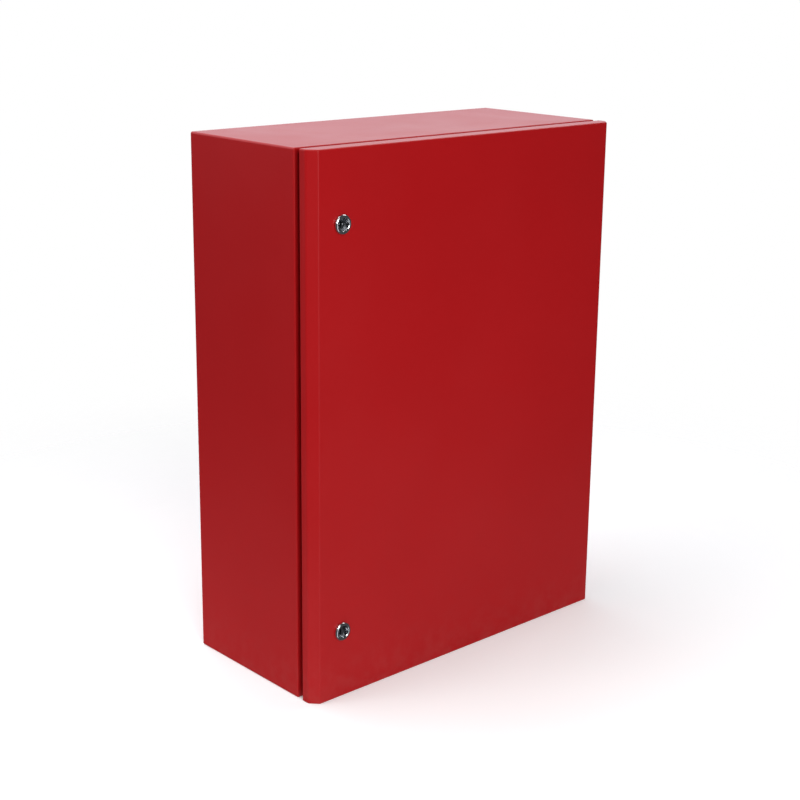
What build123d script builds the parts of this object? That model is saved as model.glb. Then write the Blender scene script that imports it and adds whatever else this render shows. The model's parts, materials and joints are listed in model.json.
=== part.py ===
from build123d import *
import os
from math import cos, sin, radians, sqrt

# ---------------------------------------------------------------------------
# Wall-mounting sheet-steel cabinet with one surface-mounted door.
# Millimetres. +Z up, the door faces -Y, hinges at +X, locks at -X.
# Origin: centre of the four wall holes, on the back plane of the body.
# ---------------------------------------------------------------------------

# overall
W = 600.0            # body and door width
H = 800.0            # body and door height
BODY_D = 238.0       # back plane to the front flange
GAP = 12.0           # shadow gap between the flange and the door's returns
DOOR_T = 25.0        # door thickness
T = 1.5              # sheet thickness
D = BODY_D + GAP + DOOR_T

# body
BODY_R = 3.0         # outer radius of the wrapped long edges
FLANGE = 22.0        # front flange width, outer face to lip
LIP_Y = -264.8       # front edge of the rain-channel lip
LIP_R = 6.0
BEND_R = 2.5         # outer radius at the front flange bend

# rear panel
REAR_RETURN = 16.5
HOLE_X, HOLE_Z = 540.0, 740.0
HOLE_R = 4.5

# door
RET = 12.0           # depth of the door's side return
FACET = 12.0         # width of the facet across the door
DOOR_BEND = 2.0

# gasket
G_OUT_X, G_OUT_Z = 284.0, 384.0
G_IN_X, G_IN_Z = 270.0, 370.0
G_Y = -265.0         # sealing face

# hinge axis
HX, HY = 291.5, -255.0
HINGE_Z = (297.0, -297.0)
PIN_R = 3.0

# locks
LX = -247.0
LOCK_Z = (297.0, -297.0)
HEAD_R = 14.0
CAM_REACH = 45.0

# mounting plate
MP_W, MP_H, MP_T = 510.0, 710.0, 2.5
MP_STUD_X, MP_STUD_Z = 225.0, 325.0
MP_Y = -13.5         # rear face of the plate

# entry plate in the bottom
EP_X, EP_Y, EP_YC = 210.0, 55.0, -135.0   # half sizes of the cut-out and its centre

ZB, ZT = -H / 2, H / 2

os.makedirs("parts", exist_ok=True)


def save(shape, name):
    shape.label = name
    export_step(shape, "parts/" + name + ".step")
    print(name, len(shape.solids()), round(shape.volume, 1))


def group(solids):
    return Compound(children=list(solids))


def boxc(x0, x1, y0, y1, z0, z1):
    return Pos((x0 + x1) / 2, (y0 + y1) / 2, (z0 + z1) / 2) * Box(x1 - x0, y1 - y0, z1 - z0)


def cyl_y(x, z, r, y0, y1):
    """Cylinder along Y between y0 and y1 (y0 < y1)."""
    return Pos(x, (y0 + y1) / 2, z) * Rot(90, 0, 0) * Cylinder(r, y1 - y0)


def cyl_z(x, y, r, z0, z1):
    return Pos(x, y, (z0 + z1) / 2) * Cylinder(r, z1 - z0)


def tube_y(hx, hz, y0, y1, r):
    """Block with rounded long edges along Y, half sizes hx and hz."""
    b = boxc(-hx, hx, y0, y1, -hz, hz)
    if r > 0:
        b = fillet(b.edges().filter_by(Axis.Y), r)
    return b


def hex_y(x, z, af, y0, y1, turn=0.0):
    s = Plane(origin=(x, y1, z), x_dir=(1, 0, 0), z_dir=(0, -1, 0)) * RegularPolygon(af / 2, 6, major_radius=False, rotation=turn)
    return extrude(s, y1 - y0)


def hex_z(x, y, af, z0, z1, turn=0.0):
    s = Plane(origin=(x, y, z0)) * RegularPolygon(af / 2, 6, major_radius=False, rotation=turn)
    return extrude(s, z1 - z0)


def plan(points, z0, z1):
    """Extrude a plan outline (x, y) from z0 to z1."""
    return extrude(Plane.XY.offset(z0) * make_face(Polyline(*points, close=True)), z1 - z0, dir=(0, 0, 1))


# --------------------------------------------------------------- body_shell
hx, hz = W / 2, H / 2
ux, uz = hx - FLANGE, hz - FLANGE          # outer faces of the lip
outer = tube_y(hx, hz, -BODY_D, 0, BODY_R)
front_loop = outer.faces().sort_by(Axis.Y)[0].edges()
outer = fillet(front_loop, BEND_R)
inner = tube_y(hx - T, hz - T, -BODY_D + T, 1, BODY_R - T)
inner = fillet(inner.faces().sort_by(Axis.Y)[0].edges(), 1.0)
shell = outer - inner
lip = tube_y(ux, uz, LIP_Y, -BODY_D + T, LIP_R)
shell = shell + lip
shell = shell - tube_y(ux - T, uz - T, LIP_Y - 5, -BODY_D + T + 3, LIP_R - T)
# pipe entry cut-out in the bottom
cut = boxc(-EP_X, EP_X, EP_YC - EP_Y, EP_YC + EP_Y, ZB - 1, ZB + T + 1)
cut = fillet(cut.edges().filter_by(Axis.Z), 8)
shell = shell - cut
# clearance holes for the hinge screws in the right flange
SCREW_DZ = 17.0
for zc in HINGE_Z:
    for s in (-1, 1):
        shell = shell - cyl_y(288.0, zc + s * SCREW_DZ, 2.75, -BODY_D - 1, -BODY_D + T + 1)
save(shell, "body_shell")

# --------------------------------------------------------------- rear_panel
tray = tube_y(hx - T, hz - T, -REAR_RETURN, 0, 1.6)
tray = fillet(tray.faces().sort_by(Axis.Y)[-1].edges(), 1.2)
tray = tray - tube_y(hx - 2 * T, hz - 2 * T, -REAR_RETURN - 1, -T, 0.6)
for sx in (-1, 1):
    for sz in (-1, 1):
        tray = tray - cyl_y(sx * HOLE_X / 2, sz * HOLE_Z / 2, HOLE_R, -T - 1, 1)
save(tray, "rear_panel")

# ----------------------------------------------------- mounting plate group
plate = boxc(-MP_W / 2, MP_W / 2, MP_Y - MP_T, MP_Y, -MP_H / 2, MP_H / 2)
plate = fillet(plate.edges().filter_by(Axis.Y), 6)
studs, washers, nuts = [], [], []
for sx in (-1, 1):
    for sz in (-1, 1):
        x, z = sx * MP_STUD_X, sz * MP_STUD_Z
        plate = plate - cyl_y(x, z, 4.5, MP_Y - MP_T - 1, MP_Y + 1)
        stud = cyl_y(x, z, 7.0, MP_Y, -T) + chamfer(
            cyl_y(x, z, 4.0, -30.0, MP_Y).faces().sort_by(Axis.Y)[0].edges(), 0.8)
        studs.append(stud)
        washers.append(cyl_y(x, z, 8.0, -17.6, -16.0) - cyl_y(x, z, 4.2, -18.0, -15.5))
        nut = hex_y(x, z, 13.0, -24.1, -17.6) & chamfer(
            cyl_y(x, z, 7.4, -24.1, -17.6).faces().sort_by(Axis.Y)[0].edges(), 0.7)
        nuts.append(nut - cyl_y(x, z, 4.05, -25.0, -17.0))
save(plate, "mounting_plate")
save(group(studs), "mounting_plate_studs")
save(group(washers), "mounting_plate_washers")
save(group(nuts), "mounting_plate_nuts")

# ------------------------------------------------------- entry plate group
z0 = ZB + T
gasket = boxc(-225, 225, EP_YC - 70, EP_YC + 70, z0, z0 + 3)
gasket = fillet(gasket.edges().filter_by(Axis.Z), 10)
win = boxc(-EP_X, EP_X, EP_YC - EP_Y, EP_YC + EP_Y, z0 - 1, z0 + 4)
gasket = gasket - fillet(win.edges().filter_by(Axis.Z), 8)
eplate = boxc(-225, 225, EP_YC - 70, EP_YC + 70, z0 + 3, z0 + 5)
eplate = fillet(eplate.edges().filter_by(Axis.Z), 10)
spots = [(-217.5, EP_YC), (217.5, EP_YC)] + [(x, EP_YC + s * 62.5) for x in (-145.0, 0.0, 145.0) for s in (-1, 1)]
studs, nuts = [], []
for x, y in spots:
    gasket = gasket - cyl_z(x, y, 3.4, z0 - 1, z0 + 4)
    eplate = eplate - cyl_z(x, y, 3.4, z0 + 2, z0 + 6)
    studs.append(chamfer(cyl_z(x, y, 3.0, z0, z0 + 15).faces().sort_by(Axis.Z)[-1].edges(), 0.6))
    nut = cyl_z(x, y, 7.0, z0 + 5, z0 + 6.4) + hex_z(x, y, 10.0, z0 + 6.4, z0 + 11.5)
    nuts.append(nut - cyl_z(x, y, 3.05, z0 + 4, z0 + 13))
save(gasket, "entry_plate_gasket")
save(eplate, "entry_plate")
save(group(studs), "entry_plate_studs")
save(group(nuts), "entry_plate_nuts")

# ------------------------------------------------------------- body earthing
ex, ey = -262.0, -120.0
bes = cyl_z(ex, ey, 7.0, z0, z0 + 2) + chamfer(cyl_z(ex, ey, 4.0, z0 + 2, z0 + 25).faces().sort_by(Axis.Z)[-1].edges(), 0.8)
ben = cyl_z(ex, ey, 8.5, z0 + 2, z0 + 3.6) + hex_z(ex, ey, 13.0, z0 + 3.6, z0 + 10.1)
ben = ben - cyl_z(ex, ey, 4.05, z0 + 1, z0 + 12)
save(bes, "body_earth_stud")
save(ben, "body_earth_nut")

# ---------------------------------------------------------------- door_panel
yF = -D
yR = yF + DOOR_T                      # rear edge of the returns
outline = [(-hx, yR), (-hx, yR - RET), (-hx + FACET, yF), (hx - FACET, yF), (hx, yR - RET), (hx, yR)]
door = plan(outline, ZB, ZT)
door = fillet(door.faces().sort_by(Axis.Y)[0].edges(), DOOR_BEND)
# inner faces, one sheet thickness in
fs = sqrt(FACET ** 2 + (DOOR_T - RET) ** 2)
nx, ny = (DOOR_T - RET) / fs, FACET / fs   # outward normal of the right facet is (nx, -ny)


def facet_cross(x=None, y=None):
    """Point of the offset facet line at a given x or y."""
    px, py = hx - T * nx, (yR - RET) + T * ny
    dx, dy = -FACET / fs, -(DOOR_T - RET) / fs
    if x is not None:
        k = (x - px) / dx
        return x, py + k * dy
    k = (y - py) / dy
    return px + k * dx, y


ix1, iy1 = facet_cross(x=hx - T)
ix2, iy2 = facet_cross(y=yF + T)
hollow = [(-ix1, yR + 2), (-ix1, iy1), (-ix2, iy2), (ix2, iy2), (ix1, iy1), (ix1, yR + 2)]
door = door - plan(hollow, ZB + T, ZT - T)
for zc in LOCK_Z:
    door = door - cyl_y(LX, zc, 11.25, yF - 1, yF + T + 1)
save(door, "door_panel")

# --------------------------------------------------------------- door_gasket
g = tube_y(G_OUT_X, G_OUT_Z, yF + T, G_Y, 8.0)
g = g - tube_y(G_IN_X, G_IN_Z, yF + T - 1, G_Y + 1, 3.0)
g = fillet(g.faces().sort_by(Axis.Y)[-1].edges(), 2.5)
save(g, "door_gasket")

# ---------------------------------------------------------------- door rails
RAIL_W, RAIL_H, RAIL_L = 24.0, 14.0, 320.0   # width, depth, half length
RAILS = {"left_door_rail": -196.0, "right_door_rail": 236.0}
yi = yF + T
rstuds, rnuts = [], []
for name, xc in RAILS.items():
    r = boxc(xc - RAIL_W / 2, xc + RAIL_W / 2, yi, yi + RAIL_H, -RAIL_L, RAIL_L)
    r = fillet(r.edges().filter_by(Axis.Z).group_by(Axis.Y)[-1], 2.0)
    r = r - boxc(xc - RAIL_W / 2 + T, xc + RAIL_W / 2 - T, yi - 1, yi + RAIL_H - T, -RAIL_L - 1, RAIL_L + 1)
    for s in (-1, 1):
        tab = boxc(xc - RAIL_W / 2, xc + RAIL_W / 2, yi, yi + T, min(s * (RAIL_L - 6), s * (RAIL_L + 24)),
                   max(s * (RAIL_L - 6), s * (RAIL_L + 24)))
        r = r + tab
        r = r - cyl_y(xc, s * (RAIL_L + 12), 3.4, yi - 1, yi + 3)
        st = cyl_y(xc, s * (RAIL_L + 12), 3.0, yi, yi + 13)
        rstuds.append(chamfer(st.faces().sort_by(Axis.Y)[-1].edges(), 0.6))
        nut = cyl_y(xc, s * (RAIL_L + 12), 7.0, yi + T, yi + T + 1.4) + hex_y(xc, s * (RAIL_L + 12), 10.0, yi + T + 1.4, yi + T + 6.5)
        rnuts.append(nut - cyl_y(xc, s * (RAIL_L + 12), 3.05, yi, yi + 12))
    n = 25
    holes = [cyl_y(xc, (i - (n - 1) / 2) * 25.0, 2.6, yi + RAIL_H - T - 1, yi + RAIL_H + 1) for i in range(n)]
    r = r - holes
    save(r, name)
save(group(rstuds), "door_rail_studs")
save(group(rnuts), "door_rail_nuts")

# ------------------------------------------------------------- door earthing
dx, dz = 236.0, -358.0
des = cyl_y(dx, dz, 4.6, yi, yi + 1.5) + chamfer(cyl_y(dx, dz, 3.0, yi + 1.5, yi + 18).faces().sort_by(Axis.Y)[-1].edges(), 0.6)
den = cyl_y(dx, dz, 6.6, yi + 1.5, yi + 2.9) + hex_y(dx, dz, 10.0, yi + 2.9, yi + 8.0)
den = den - cyl_y(dx, dz, 3.05, yi + 1, yi + 12)
save(des, "door_earth_stud")
save(den, "door_earth_nut")

# -------------------------------------------------------------------- hinges
screws = []
for label, zc in (("upper", HINGE_Z[0]), ("lower", HINGE_Z[1])):
    # bracket on the body's flange: foot, arm beside the lip, web and barrel
    foot = boxc(279.5, 297.0, -BODY_D - 6, -BODY_D, zc - 25, zc + 25)
    foot = fillet(foot.edges().filter_by(Axis.Y), 2.5)
    arm = boxc(279.5, 281.9, -260.0, -BODY_D - 1, zc - 10, zc + 10)
    web = boxc(279.5, HX, -260.0, -253.0, zc - 10, zc + 10)
    barrel = cyl_z(HX, HY, 5.0, zc - 10, zc + 10)
    br = foot + arm + web + barrel
    br = br - cyl_z(HX, HY, PIN_R + 0.05, zc - 11, zc + 11)
    for s in (-1, 1):
        br = br - cyl_y(288.0, zc + s * SCREW_DZ, 2.55, -BODY_D - 5, -BODY_D + 1)
        head = cyl_y(288.0, zc + s * SCREW_DZ, 4.75, -BODY_D + T, -BODY_D + T + 2.75)
        head = fillet(head.faces().sort_by(Axis.Y)[-1].edges(), 1.6)
        head = head - hex_y(288.0, zc + s * SCREW_DZ, 3.0, -BODY_D + T + 1.0, -BODY_D + T + 4)
        screws.append(head + cyl_y(288.0, zc + s * SCREW_DZ, 2.5, -BODY_D - 4.5, -BODY_D + T))
    save(br, label + "_hinge_bracket")
    # leaf on the door: pad along the facet's inner face, and two ears
    a0 = (hx - T - 1.0, facet_cross(x=hx - T - 1.0)[1])
    b0 = (ix2 + 0.8, facet_cross(x=ix2 + 0.8)[1])
    off = 2.5
    a1 = (a0[0] - off * nx, a0[1] + off * ny)
    b1 = (b0[0] - off * nx, b0[1] + off * ny)
    leaf = plan([a0, b0, b1, a1], zc - 27, zc + 27)
    for e0, e1 in ((10.4, 22.0), (-22.0, -10.4)):
        ear = cyl_z(HX, HY, 5.0, zc + e0, zc + e1)
        ear = ear + plan([(HX - 4.7, HY - 1.0), (b1[0] + 0.6, b1[1] + 0.0), (a1[0] - 0.3, a1[1] - 0.4), (HX + 4.8, HY - 1.0)], zc + e0, zc + e1)
        leaf = leaf + ear
    leaf = leaf - cyl_z(HX, HY, PIN_R + 0.02, zc - 30, zc + 30)
    save(leaf, label + "_hinge_leaf")
    pin = cyl_z(HX, HY, PIN_R, zc - 24, zc + 22)
    pin = chamfer(pin.faces().sort_by(Axis.Z)[0].edges(), 0.6)
    head = cyl_z(HX, HY, 4.6, zc + 22, zc + 24.5)
    head = fillet(head.faces().sort_by(Axis.Z)[-1].edges(), 0.8)
    save(pin + head, label + "_hinge_pin")
save(group(screws), "hinge_screws")

# --------------------------------------------------------------------- locks
SEAL_T = 0.8
yh0 = yF - SEAL_T                     # back of the lock's head
yh1 = yF - 4.3                        # front of the head


def ring_y(x, z, prof):
    """Revolve a (radius, y) outline about the axis along Y through (x, z)."""
    pts = [(r, y) for r, y in prof]
    f = make_face(Polyline(*pts, close=True))
    s = revolve(f, Axis.Y, 360)
    return Pos(x, 0, z) * s


for label, zc in (("upper", LOCK_Z[0]), ("lower", LOCK_Z[1])):
    housing = ring_y(LX, zc, [
        (9.3, yh1), (12.2, yh1), (13.4, yh1 + 0.7), (HEAD_R, yh1 + 1.9), (HEAD_R, yh0), (11.0, yh0),
        (11.0, -253.0), (6.05, -253.0), (6.05, -264.0), (8.5, -264.0), (8.5, yh1 + 0.9)])
    save(housing, label + "_lock_housing")
    seal = cyl_y(LX, zc, 13.3, yh0, yF) - cyl_y(LX, zc, 11.1, yh0 - 1, yF + 1)
    save(seal, label + "_lock_seal")
    nut = hex_y(LX, zc, 27.0, yi, yi + 5.0)
    lim = cyl_y(LX, zc, 15.2, yi, yi + 5.0)
    lim = chamfer(lim.faces().sort_by(Axis.Y)[-1].edges(), 1.0)
    nut = (nut & lim) - cyl_y(LX, zc, 11.05, yi - 1, yi + 6)
    save(nut, label + "_lock_nut")
    # insert: dished disc with a round pin and two flat bits, journal, square end
    ins = cyl_y(LX, zc, 8.42, -268.5, -264.1)
    ins = ins + cyl_y(LX, zc, 6.0, -264.1, -252.6)
    ins = ins + boxc(LX - 4, LX + 4, -252.6, -249.8, zc - 4, zc + 4)
    pinf = cyl_y(LX, zc, 2.7, -277.2, -268.5)
    pinf = chamfer(pinf.faces().sort_by(Axis.Y)[0].edges(), 0.5)
    bits = boxc(LX - 1.5, LX + 1.5, -275.4, -268.5, zc - 5.2, zc + 5.2)
    ins = ins + pinf + bits
    ins = ins - cyl_y(LX, zc, 2.55, -259.0, -249.0)
    save(ins, label + "_lock_insert")
    # cranked cam, pointing down when the lock is open
    prof = [(11.0, -252.6), (-18.6, -252.6), (-23.6, -236.0), (-CAM_REACH + 3.0, -236.0), (-CAM_REACH, -234.6),
            (-CAM_REACH, -233.0), (-21.0, -233.0), (-16.0, -249.6), (11.0, -249.6)]
    side = Plane(origin=(LX - 11.0, 0, zc), x_dir=(0, 0, 1), z_dir=(1, 0, 0))
    cam = extrude(side * make_face(Polyline(*[(p[0], -p[1]) for p in prof], close=True)), 22.0, dir=(1, 0, 0))
    bar = boxc(LX - 9.0, LX + 9.0, -260.0, -230.0, zc - CAM_REACH, zc)
    bar = fillet(bar.edges().filter_by(Axis.Y).group_by(Axis.Z)[0], 4.0)
    cam = cam & (bar + cyl_y(LX, zc, 11.0, -260.0, -230.0))
    cam = cam - boxc(LX - 4.03, LX + 4.03, -253.0, -249.0, zc - 4.03, zc + 4.03)
    save(cam, label + "_lock_cam")
    w = cyl_y(LX, zc, 7.5, -249.6, -248.4) - cyl_y(LX, zc, 2.7, -250.0, -248.0)
    save(w, label + "_cam_washer")
    sc = cyl_y(LX, zc, 4.8, -248.4, -244.9)
    sc = fillet(sc.faces().sort_by(Axis.Y)[-1].edges(), 0.8)
    sc = sc - hex_y(LX, zc, 4.0, -247.0, -244.0)
    sc = sc + cyl_y(LX, zc, 2.5, -258.5, -248.4)
    save(sc, label + "_cam_screw")
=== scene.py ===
import bpy, bmesh, json, math
from mathutils import Vector, Matrix, noise


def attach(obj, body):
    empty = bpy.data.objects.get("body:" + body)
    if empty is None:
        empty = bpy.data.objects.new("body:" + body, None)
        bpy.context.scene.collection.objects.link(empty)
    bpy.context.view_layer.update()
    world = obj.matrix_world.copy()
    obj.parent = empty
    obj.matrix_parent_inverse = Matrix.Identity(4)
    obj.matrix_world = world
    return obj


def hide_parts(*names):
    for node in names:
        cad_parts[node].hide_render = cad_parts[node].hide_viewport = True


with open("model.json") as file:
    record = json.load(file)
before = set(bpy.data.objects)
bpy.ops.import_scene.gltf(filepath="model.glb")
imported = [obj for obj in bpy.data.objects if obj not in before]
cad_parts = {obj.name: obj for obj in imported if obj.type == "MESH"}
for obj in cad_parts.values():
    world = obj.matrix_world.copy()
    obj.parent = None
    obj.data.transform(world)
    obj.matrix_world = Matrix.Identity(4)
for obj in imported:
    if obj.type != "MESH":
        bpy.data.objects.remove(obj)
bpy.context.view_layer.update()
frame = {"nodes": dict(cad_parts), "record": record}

MM = 0.001
NODES = frame["nodes"]
BODY_OF = {n: b for b, ns in frame["record"]["behaviour"]["bodies"].items() for n in ns}
SLOT_OF = {s["node"]: s["material_slot"] for s in frame["record"]["subparts"]}

# ------------------------------------------------------------------ camera
# pinhole fitted to the cabinet's edges
CAM_POS = Vector((-1.5601, -1.8443, 0.6496))
CAM_AZ, CAM_EL, CAM_ROLL = -42.1551, 15.2494, 0.6352
CAM_F, CAM_PPY = 1536.543, 372.0

a, e = math.radians(CAM_AZ), math.radians(CAM_EL)
back = Vector((math.sin(a) * math.cos(e), -math.cos(a) * math.cos(e), math.sin(e)))
right = (-back).cross(Vector((0, 0, 1))).normalized()
up = right.cross(-back)
ro = math.radians(CAM_ROLL)
right, up = right * math.cos(ro) + up * math.sin(ro), up * math.cos(ro) - right * math.sin(ro)
cam_data = bpy.data.cameras.new("camera")
cam_data.sensor_width = 36.0
cam_data.lens = CAM_F / 800.0 * 36.0
cam_data.shift_y = (CAM_PPY - 400.0) / 800.0
cam_data.clip_start, cam_data.clip_end = 0.05, 60.0
cam = bpy.data.objects.new("camera", cam_data)
bpy.context.scene.collection.objects.link(cam)
cam.matrix_world = Matrix.Translation(CAM_POS) @ Matrix((right, up, back)).transposed().to_4x4()
bpy.context.scene.camera = cam

# --------------------------------------------------------------- materials


class Nodes:
    """A small wrapper that keeps the node code below short."""

    def __init__(self, name):
        self.mat = bpy.data.materials.new(name)
        self.mat.use_nodes = True
        self.t = self.mat.node_tree
        self.b = next(n for n in self.t.nodes if n.type == "BSDF_PRINCIPLED")
        self.co = self.t.nodes.new("ShaderNodeTexCoord").outputs["Object"]

    def new(self, kind, **props):
        n = self.t.nodes.new(kind)
        for k, v in props.items():
            setattr(n, k, v)
        return n

    def link(self, x, y):
        self.t.links.new(x, y)

    def noise(self, scale, detail=2.0, rough=0.5, distortion=0.0, stretch=None):
        n = self.new("ShaderNodeTexNoise")
        n.inputs["Scale"].default_value = scale
        n.inputs["Detail"].default_value = detail
        n.inputs["Roughness"].default_value = rough
        n.inputs["Distortion"].default_value = distortion
        src = self.co
        if stretch:
            m = self.new("ShaderNodeMapping")
            m.inputs["Scale"].default_value = stretch
            self.link(self.co, m.inputs["Vector"])
            src = m.outputs["Vector"]
        self.link(src, n.inputs["Vector"])
        return n.outputs["Fac"]

    def voronoi(self, scale, feature="F1"):
        n = self.new("ShaderNodeTexVoronoi", feature=feature)
        n.inputs["Scale"].default_value = scale
        self.link(self.co, n.inputs["Vector"])
        return n

    def ramp(self, src, lo, hi, out0=0.0, out1=1.0, smooth=False):
        n = self.new("ShaderNodeMapRange")
        n.interpolation_type = "SMOOTHSTEP" if smooth else "LINEAR"
        n.inputs["From Min"].default_value = lo
        n.inputs["From Max"].default_value = hi
        n.inputs["To Min"].default_value = out0
        n.inputs["To Max"].default_value = out1
        self.link(src, n.inputs["Value"])
        return n.outputs["Result"]

    def math(self, op, x, y=None, clamp=False):
        n = self.new("ShaderNodeMath", operation=op, use_clamp=clamp)
        for i, v in enumerate((x, y)):
            if v is None:
                continue
            if isinstance(v, (int, float)):
                n.inputs[i].default_value = v
            else:
                self.link(v, n.inputs[i])
        return n.outputs[0]

    def mix(self, fac, c0, c1):
        n = self.new("ShaderNodeMix", data_type="RGBA")
        if isinstance(fac, (int, float)):
            n.inputs[0].default_value = fac
        else:
            self.link(fac, n.inputs[0])
        for i, c in ((6, c0), (7, c1)):
            if isinstance(c, (tuple, list)):
                n.inputs[i].default_value = (*c[:3], 1.0)
            else:
                self.link(c, n.inputs[i])
        return n.outputs[2]

    def bump(self, height, strength, distance, after=None):
        n = self.new("ShaderNodeBump")
        n.inputs["Strength"].default_value = strength
        n.inputs["Distance"].default_value = distance
        self.link(height, n.inputs["Height"])
        if after is not None:
            self.link(after, n.inputs["Normal"])
        return n.outputs["Normal"]

    def axis(self, i):
        n = self.new("ShaderNodeSeparateXYZ")
        self.link(self.co, n.inputs[0])
        return n.outputs[i]

    def set(self, **vals):
        for k, v in vals.items():
            self.b.inputs[k.replace("_", " ")].default_value = v

    def out(self, color=None, rough=None, normal=None):
        if color is not None:
            self.link(color, self.b.inputs["Base Color"])
        if rough is not None:
            self.link(rough, self.b.inputs["Roughness"])
        if normal is not None:
            self.link(normal, self.b.inputs["Normal"])
        return self.mat


def powder_coat(name, red=(0.405, 0.0050, 0.0068), deep=(0.385, 0.0042, 0.0058), rough=0.34):
    n = Nodes(name)
    broad = n.noise(2.6, 3.0, 0.55)
    fine = n.noise(900.0, 2.0, 0.6)
    grit = n.noise(60.0, 5.0, 0.65)
    col = n.mix(n.ramp(broad, 0.35, 0.65), deep, red)
    col = n.mix(n.ramp(fine, 0.35, 0.75, 0.0, 0.10), col, (0.45, 0.012, 0.014))
    # a thin film of dust low down, and faint hand marks in the gloss
    low = n.ramp(n.axis(2), -0.40, -0.30, 1.0, 0.0, True)
    dust = n.math("MULTIPLY", low, n.ramp(grit, 0.42, 0.75, 0.0, 0.07))
    col = n.mix(dust, col, (0.44, 0.20, 0.18))
    hand = n.noise(6.0, 4.0, 0.6, 0.4)
    r = n.math("ADD", n.ramp(hand, 0.35, 0.70, -0.020, 0.030), n.ramp(fine, 0.3, 0.7, -0.015, 0.015))
    r = n.math("ADD", r, n.math("MULTIPLY", dust, 0.9))
    r = n.math("ADD", r, rough, clamp=True)
    peel = n.noise(700.0, 1.5, 0.45)
    wave = n.noise(190.0, 2.0, 0.5)
    nrm = n.bump(wave, 0.22, 0.00012)
    nrm = n.bump(peel, 0.45, 0.00010, nrm)
    n.set(Metallic=0.0, IOR=1.40)
    return n.out(col, r, nrm)


def zinc_sheet(name):
    n = Nodes(name)
    v = n.voronoi(95.0)
    grain = n.new("ShaderNodeSeparateColor")
    n.link(v.outputs["Color"], grain.inputs[0])
    cloud = n.noise(9.0, 4.0, 0.6)
    brush = n.noise(240.0, 3.0, 0.6, 0.0, (3.0, 3.0, 0.35))
    col = n.mix(grain.outputs[0], (0.66, 0.68, 0.70), (0.80, 0.81, 0.82))
    col = n.mix(n.math("MULTIPLY", n.ramp(cloud, 0.3, 0.7), 0.30), col, (0.74, 0.73, 0.69))
    r = n.math("ADD", n.ramp(grain.outputs[1], 0.0, 1.0, 0.42, 0.54), n.ramp(brush, 0.3, 0.7, -0.02, 0.03))
    r = n.math("ADD", r, n.ramp(cloud, 0.3, 0.7, -0.03, 0.05))
    nrm = n.bump(brush, 0.10, 0.00004)
    nrm = n.bump(v.outputs["Distance"], 0.08, 0.00010, nrm)
    n.set(Metallic=1.0)
    return n.out(col, r, nrm)


def zinc_part(name, tint=(0.64, 0.66, 0.69), warm=(0.66, 0.64, 0.56), rough=0.26):
    n = Nodes(name)
    cloud = n.noise(120.0, 4.0, 0.6, 0.5)
    fine = n.noise(1400.0, 2.0, 0.6)
    col = n.mix(n.ramp(cloud, 0.40, 0.72), tint, warm)
    col = n.mix(n.ramp(fine, 0.45, 0.85, 0.0, 0.16), col, (0.42, 0.43, 0.44))
    r = n.math("ADD", n.ramp(cloud, 0.3, 0.7, rough - 0.04, rough + 0.08), n.ramp(fine, 0.3, 0.7, -0.05, 0.07))
    nrm = n.bump(fine, 0.15, 0.00003)
    n.set(Metallic=1.0)
    return n.out(col, r, nrm)


def chrome(name):
    n = Nodes(name)
    haze = n.noise(160.0, 4.0, 0.6)
    scr = n.noise(240.0, 3.0, 0.7, 0.0, (9.0, 9.0, 0.6))
    col = n.mix(n.ramp(haze, 0.4, 0.8), (0.78, 0.79, 0.80), (0.66, 0.67, 0.70))
    r = n.math("ADD", n.ramp(haze, 0.35, 0.75, 0.07, 0.15), n.ramp(scr, 0.62, 0.8, 0.0, 0.12))
    nrm = n.bump(scr, 0.06, 0.00003)
    n.set(Metallic=1.0)
    return n.out(col, r, nrm)


def dark_insert(name):
    n = Nodes(name)
    grain = n.noise(900.0, 3.0, 0.6)
    cloud = n.noise(220.0, 3.0, 0.6)
    col = n.mix(n.ramp(cloud, 0.35, 0.7), (0.10, 0.105, 0.12), (0.24, 0.245, 0.26))
    r = n.ramp(grain, 0.3, 0.7, 0.28, 0.44)
    nrm = n.bump(grain, 0.2, 0.00004)
    n.set(Metallic=1.0)
    return n.out(col, r, nrm)


def foam(name):
    n = Nodes(name)
    cells = n.voronoi(1500.0).outputs["Distance"]
    skin = n.noise(160.0, 4.0, 0.6)
    dust = n.noise(30.0, 4.0, 0.65)
    col = n.mix(n.ramp(skin, 0.3, 0.7), (0.030, 0.030, 0.032), (0.058, 0.058, 0.060))
    col = n.mix(n.ramp(dust, 0.60, 0.85, 0.0, 0.25), col, (0.14, 0.13, 0.12))
    r = n.ramp(skin, 0.3, 0.7, 0.70, 0.90)
    nrm = n.bump(skin, 0.35, 0.0005)
    nrm = n.bump(cells, 0.35, 0.00025, nrm)
    n.set(Metallic=0.0)
    return n.out(col, r, nrm)


def rubber(name):
    n = Nodes(name)
    skin = n.noise(700.0, 3.0, 0.6)
    col = n.mix(n.ramp(skin, 0.3, 0.7), (0.014, 0.014, 0.015), (0.034, 0.034, 0.034))
    r = n.ramp(skin, 0.3, 0.7, 0.50, 0.70)
    nrm = n.bump(skin, 0.2, 0.00005)
    n.set(Metallic=0.0)
    return n.out(col, r, nrm)


def diecast(name):
    n = Nodes(name)
    grain = n.noise(850.0, 4.0, 0.65)
    cloud = n.noise(90.0, 3.0, 0.6)
    col = n.mix(n.ramp(cloud, 0.35, 0.7), (0.44, 0.45, 0.46), (0.58, 0.585, 0.59))
    col = n.mix(n.ramp(grain, 0.55, 0.8, 0.0, 0.4), col, (0.30, 0.30, 0.31))
    r = n.math("ADD", n.ramp(cloud, 0.3, 0.7, 0.36, 0.46), n.ramp(grain, 0.3, 0.7, -0.06, 0.08))
    nrm = n.bump(grain, 0.3, 0.00007)
    n.set(Metallic=1.0)
    return n.out(col, r, nrm)


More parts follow.
